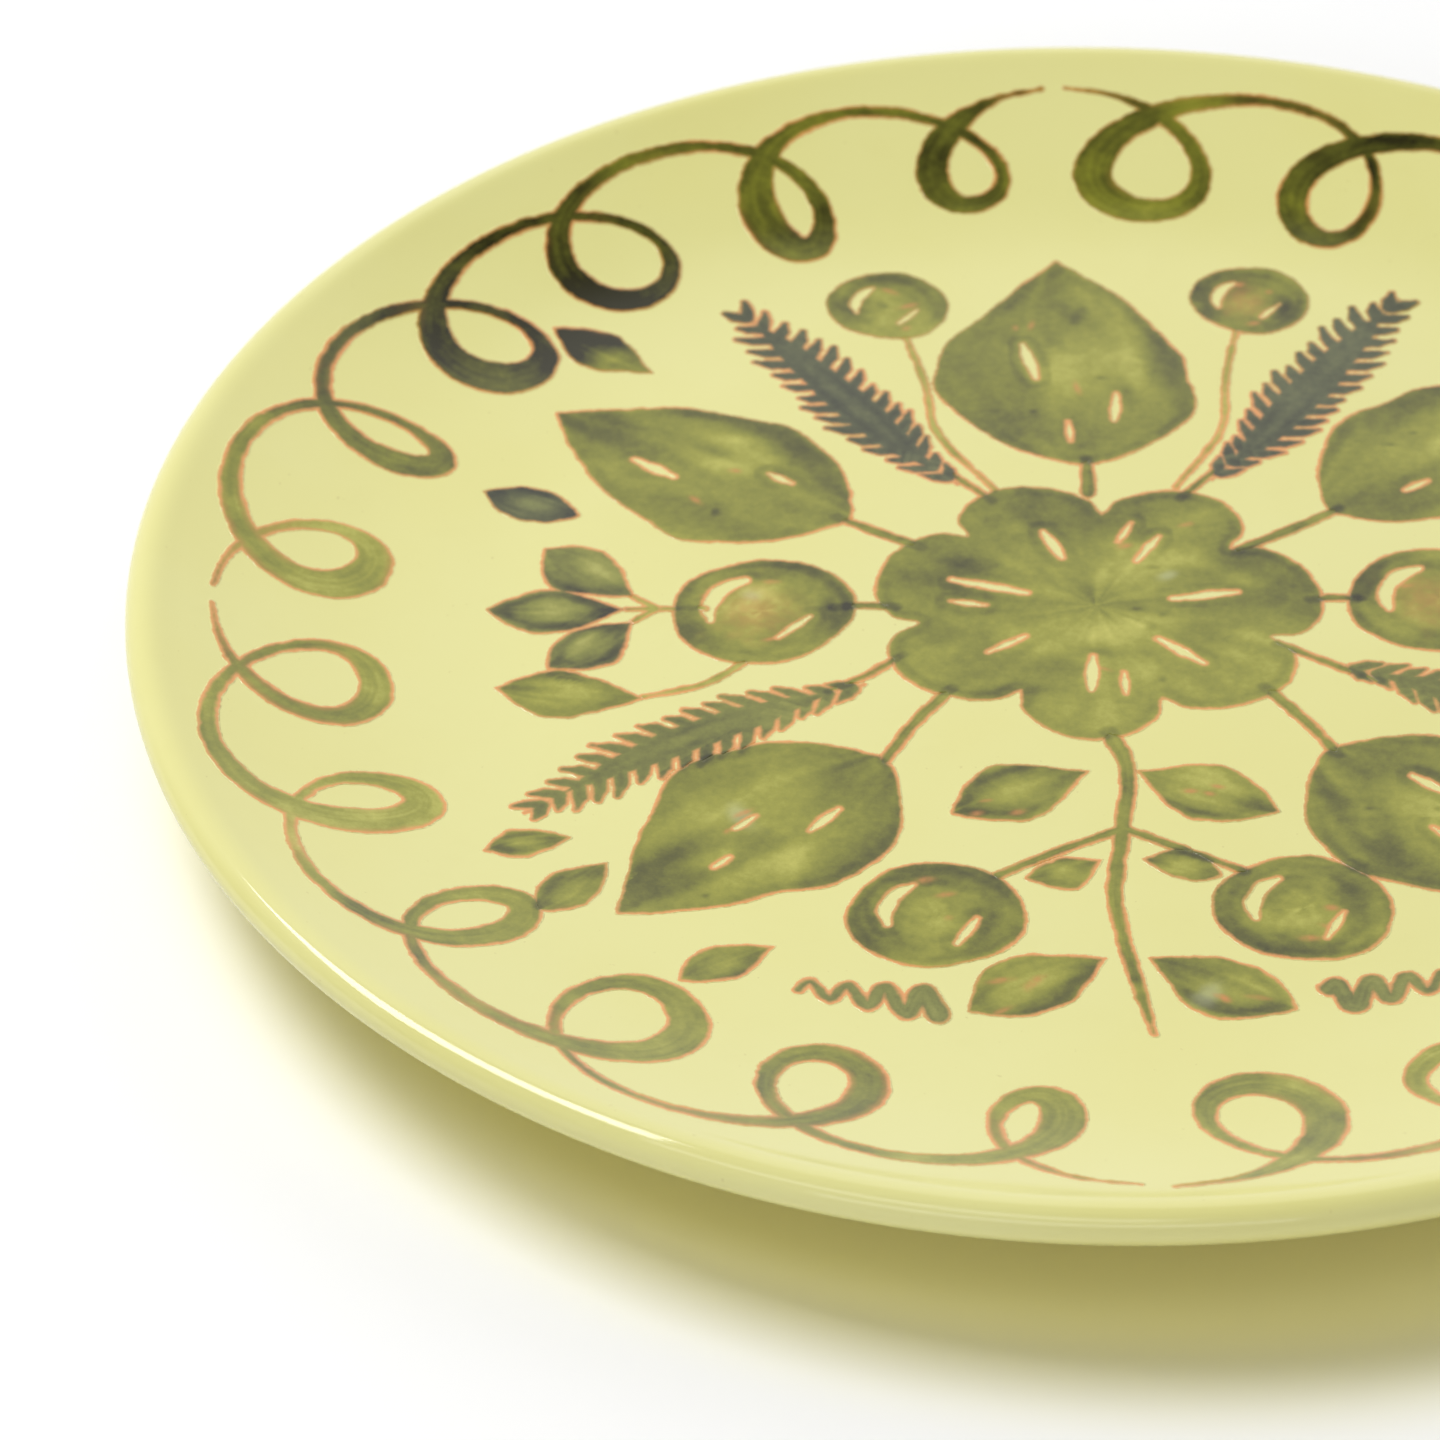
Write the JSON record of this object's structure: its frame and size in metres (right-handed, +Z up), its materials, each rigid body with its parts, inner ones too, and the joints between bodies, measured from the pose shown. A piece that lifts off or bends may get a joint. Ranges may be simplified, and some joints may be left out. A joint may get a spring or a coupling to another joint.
{
  "type": "hand painted ceramic plate",
  "caption": "Round shallow dinner plate on a turned foot ring, glazed earthenware with a hand brushed flower, pods, leaves, round fruits and a looped border.",
  "frame": {"origin": "centre of the plane the foot ring stands on", "axes": "+Z up out of the eating surface, -Y towards the diner (the painted stem starts at the -Y side), +X to the diner's right"},
  "size_m": [0.27, 0.27, 0.022],
  "materials": {
    "red_clay": "matte",
    "lime_glaze": "gloss",
    "green_colour": "gloss",
    "dark_green_colour": "gloss",
    "tan_colour": "gloss"
  },
  "bodies": {
    "root": {"clay_body": "red_clay", "glaze_coat": "lime_glaze", "foot_well_glaze": "lime_glaze", "paint_rosette": "green_colour", "paint_top_pod": "green_colour", "paint_side_pods": "green_colour", "paint_broad_leaves": "green_colour", "paint_fruit_discs": "green_colour", "paint_ovals": "dark_green_colour", "paint_stem_leaves": "green_colour", "paint_leaf_clusters": "green_colour", "paint_fronds_back": "dark_green_colour", "paint_fronds_front": "green_colour", "paint_stems": "green_colour", "paint_thin_stalks": "tan_colour", "paint_tendrils": "green_colour", "paint_border_front_left": "green_colour", "paint_border_back_left": "green_colour", "paint_border_front_right": "green_colour", "paint_border_back_right": "green_colour"}
  },
  "joints": []
}
